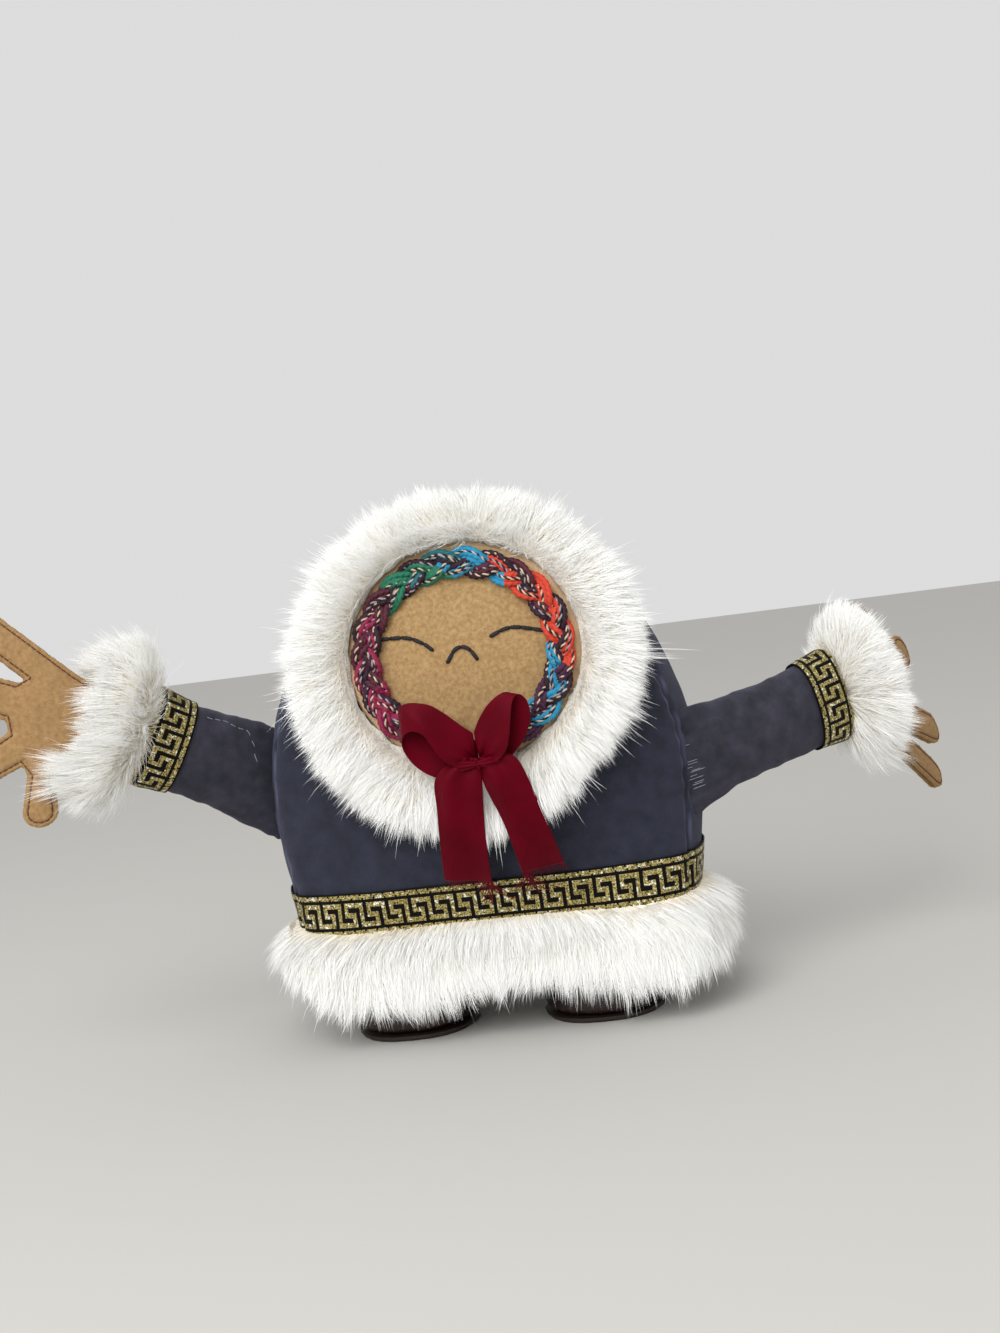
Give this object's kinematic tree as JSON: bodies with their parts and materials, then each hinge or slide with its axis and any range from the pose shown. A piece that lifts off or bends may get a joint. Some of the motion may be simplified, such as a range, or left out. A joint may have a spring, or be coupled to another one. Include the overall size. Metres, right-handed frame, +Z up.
{
  "type": "stuffed doll",
  "caption": "Sewn and stuffed doll in a velvet parka with fur hood, hem and cuffs, braided face ring, ribbon bow, felt hands and leather boots; arms swing at the shoulder seams.",
  "frame": {"origin": "middle of the floor area that the doll covers with its arms out, on the standing plane of the boots", "axes": "+X towards the viewer's right across both arms, -Y out of the face, +Z up"},
  "size_m": [0.373, 0.174, 0.1976],
  "materials": {
    "velvet": "crushed cotton velvet, dark slate blue with a pale sheen",
    "stuffing": "polyester fibre filling, hidden",
    "fur": "long white rabbit fur on a leather strip",
    "face_felt": "matted tan wool felt",
    "hand_felt": "brushed tan felt with a brown topstitch",
    "floss": "black cotton embroidery thread",
    "ribbon": "dark crimson satin",
    "woven_trim": "black jacquard ribbon with a gold metallic key pattern",
    "braid_magenta": "magenta cord with metallic thread",
    "braid_green": "green and turquoise cord with metallic thread",
    "braid_coral": "orange-red cord with metallic thread",
    "boot_leather": "dark brown leather, satin",
    "boot_sole": "dark leather, worn matte"
  },
  "bodies": {
    "torso": {"body_stuffing": "stuffing", "parka_front": "velvet", "parka_back": "velvet", "parka_gusset": "velvet", "parka_base": "velvet", "hem_trim": "woven_trim", "hem_fur": "fur", "hood_ruff": "fur", "face_felt": "face_felt", "braid_strand_1": "braid_magenta", "braid_strand_2": "braid_green", "braid_strand_3": "braid_coral", "eye_stitch_left": "floss", "eye_stitch_right": "floss", "mouth_stitch": "floss", "bow_knot": "ribbon", "bow_loop_left": "ribbon", "bow_loop_right": "ribbon", "boot_left": "boot_leather", "boot_sole_left": "boot_sole", "boot_right": "boot_leather", "boot_sole_right": "boot_sole"},
    "ribbon_tail_left": {"bow_tail_left": "ribbon"},
    "ribbon_tail_right": {"bow_tail_right": "ribbon"},
    "arm_left": {"sleeve_left": "velvet", "sleeve_stuffing_left": "stuffing", "cuff_trim_left": "woven_trim", "cuff_fur_left": "fur"},
    "hand_left": {"hand_front_left": "hand_felt", "hand_back_left": "hand_felt"},
    "arm_right": {"sleeve_right": "velvet", "sleeve_stuffing_right": "stuffing", "cuff_trim_right": "woven_trim", "cuff_fur_right": "fur"},
    "hand_right": {"hand_front_right": "hand_felt", "hand_back_right": "hand_felt"}
  },
  "joints": [
    {"name": "shoulder_left", "type": "hinge", "parent": "torso", "child": "arm_left", "pos_m": [-0.07451, -0.02751, 0.102], "axis": [0, 0, 1], "range_deg": [-78, 24]},
    {"name": "wrist_left", "type": "hinge", "parent": "arm_left", "child": "hand_left", "pos_m": [-0.11289, -0.0554, 0.1283], "axis": [0.3922, 0.285, 0.8746], "range_deg": [-25, 55]},
    {"name": "shoulder_right", "type": "hinge", "parent": "torso", "child": "arm_right", "pos_m": [0.08791, -0.02751, 0.091], "axis": [0, 0, -1], "range_deg": [-9, 93]},
    {"name": "wrist_right", "type": "hinge", "parent": "arm_right", "child": "hand_right", "pos_m": [0.14492, 0.00951, 0.10421], "axis": [0.16, 0.1039, -0.9816], "range_deg": [-10, 70]},
    {"name": "tail_lift_left", "type": "hinge", "parent": "torso", "child": "ribbon_tail_left", "pos_m": [0.0048, -0.06534, 0.09965], "axis": [-1, 0, 0], "range_deg": [0, 80]},
    {"name": "tail_lift_right", "type": "hinge", "parent": "torso", "child": "ribbon_tail_right", "pos_m": [0.0199, -0.06534, 0.09965], "axis": [-1, 0, 0], "range_deg": [0, 80]}
  ]
}
